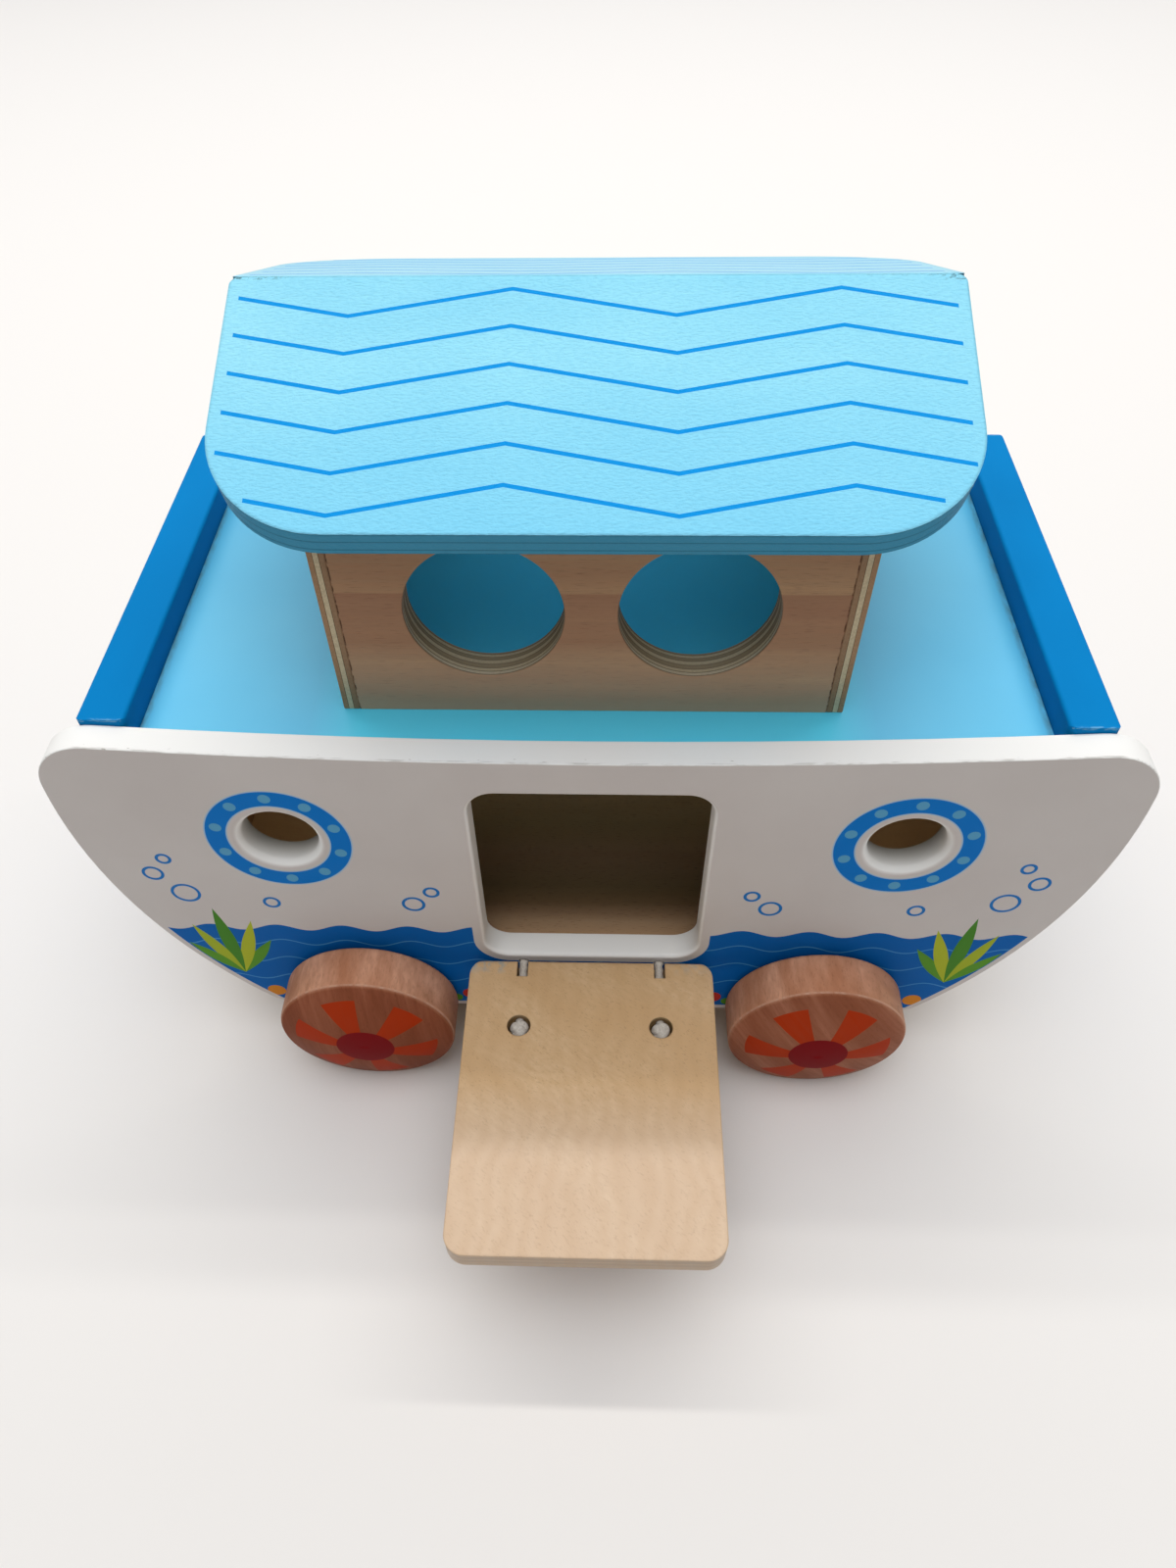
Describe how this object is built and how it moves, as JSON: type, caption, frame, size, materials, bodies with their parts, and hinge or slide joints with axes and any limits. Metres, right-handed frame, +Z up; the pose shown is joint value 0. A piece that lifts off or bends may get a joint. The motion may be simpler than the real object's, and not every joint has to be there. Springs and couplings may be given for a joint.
{
  "type": "toy ark",
  "caption": "Wooden toy ark on rolling wheels: round hull with portholes and a door, gabled deck cabin with round windows, and a boarding ramp that swings up on cords.",
  "frame": {"origin": "on the floor under the middle of the hull, midway between the wheels", "axes": "+X along the hull, -Y towards the side with the door and the ramp, +Z up"},
  "size_m": [0.34, 0.315, 0.2625],
  "materials": {
    "white_paint": "satin white paint on board, with a printed sea band",
    "deep_blue_paint": "satin dark blue paint",
    "pale_blue_paint": "satin light blue paint",
    "plywood": "bare sanded plywood",
    "birch_plywood": "bare sanded birch plywood",
    "beech": "lacquered beech",
    "dowel_wood": "bare dowel",
    "cotton_cord": "twisted white cotton"
  },
  "bodies": {
    "hull": {"front_side_panel": "white_paint", "back_side_panel": "white_paint", "left_end_board": "deep_blue_paint", "right_end_board": "deep_blue_paint", "deck_board": "pale_blue_paint", "hold_floor": "plywood", "cabin_front_wall": "plywood", "cabin_back_wall": "plywood", "cabin_left_wall": "plywood", "cabin_right_wall": "plywood", "roof_front_panel": "pale_blue_paint", "roof_back_panel": "pale_blue_paint", "left_anchor_cord": "cotton_cord", "right_anchor_cord": "cotton_cord", "floor_dowels": "dowel_wood", "deck_dowels": "dowel_wood", "end_board_dowels": "dowel_wood", "cabin_pins": "dowel_wood"},
    "ramp": {"boarding_ramp": "birch_plywood", "left_ramp_cord": "cotton_cord", "right_ramp_cord": "cotton_cord"},
    "left_wheelset": {"left_axle": "dowel_wood", "front_left_wheel": "beech", "back_left_wheel": "beech"},
    "right_wheelset": {"right_axle": "dowel_wood", "front_right_wheel": "beech", "back_right_wheel": "beech"}
  },
  "joints": [
    {"name": "ramp_hinge", "type": "hinge", "parent": "hull", "child": "ramp", "pos_m": [0, -0.09425, 0.05475], "axis": [-1, 0, 0], "range_deg": [0, 90]},
    {"name": "left_axle_spin", "type": "hinge", "parent": "hull", "child": "left_wheelset", "pos_m": [-0.085, 0, 0.033], "axis": [0, 1, 0], "continuous": true},
    {"name": "right_axle_spin", "type": "hinge", "parent": "hull", "child": "right_wheelset", "pos_m": [0.085, 0, 0.033], "axis": [0, 1, 0], "continuous": true}
  ]
}
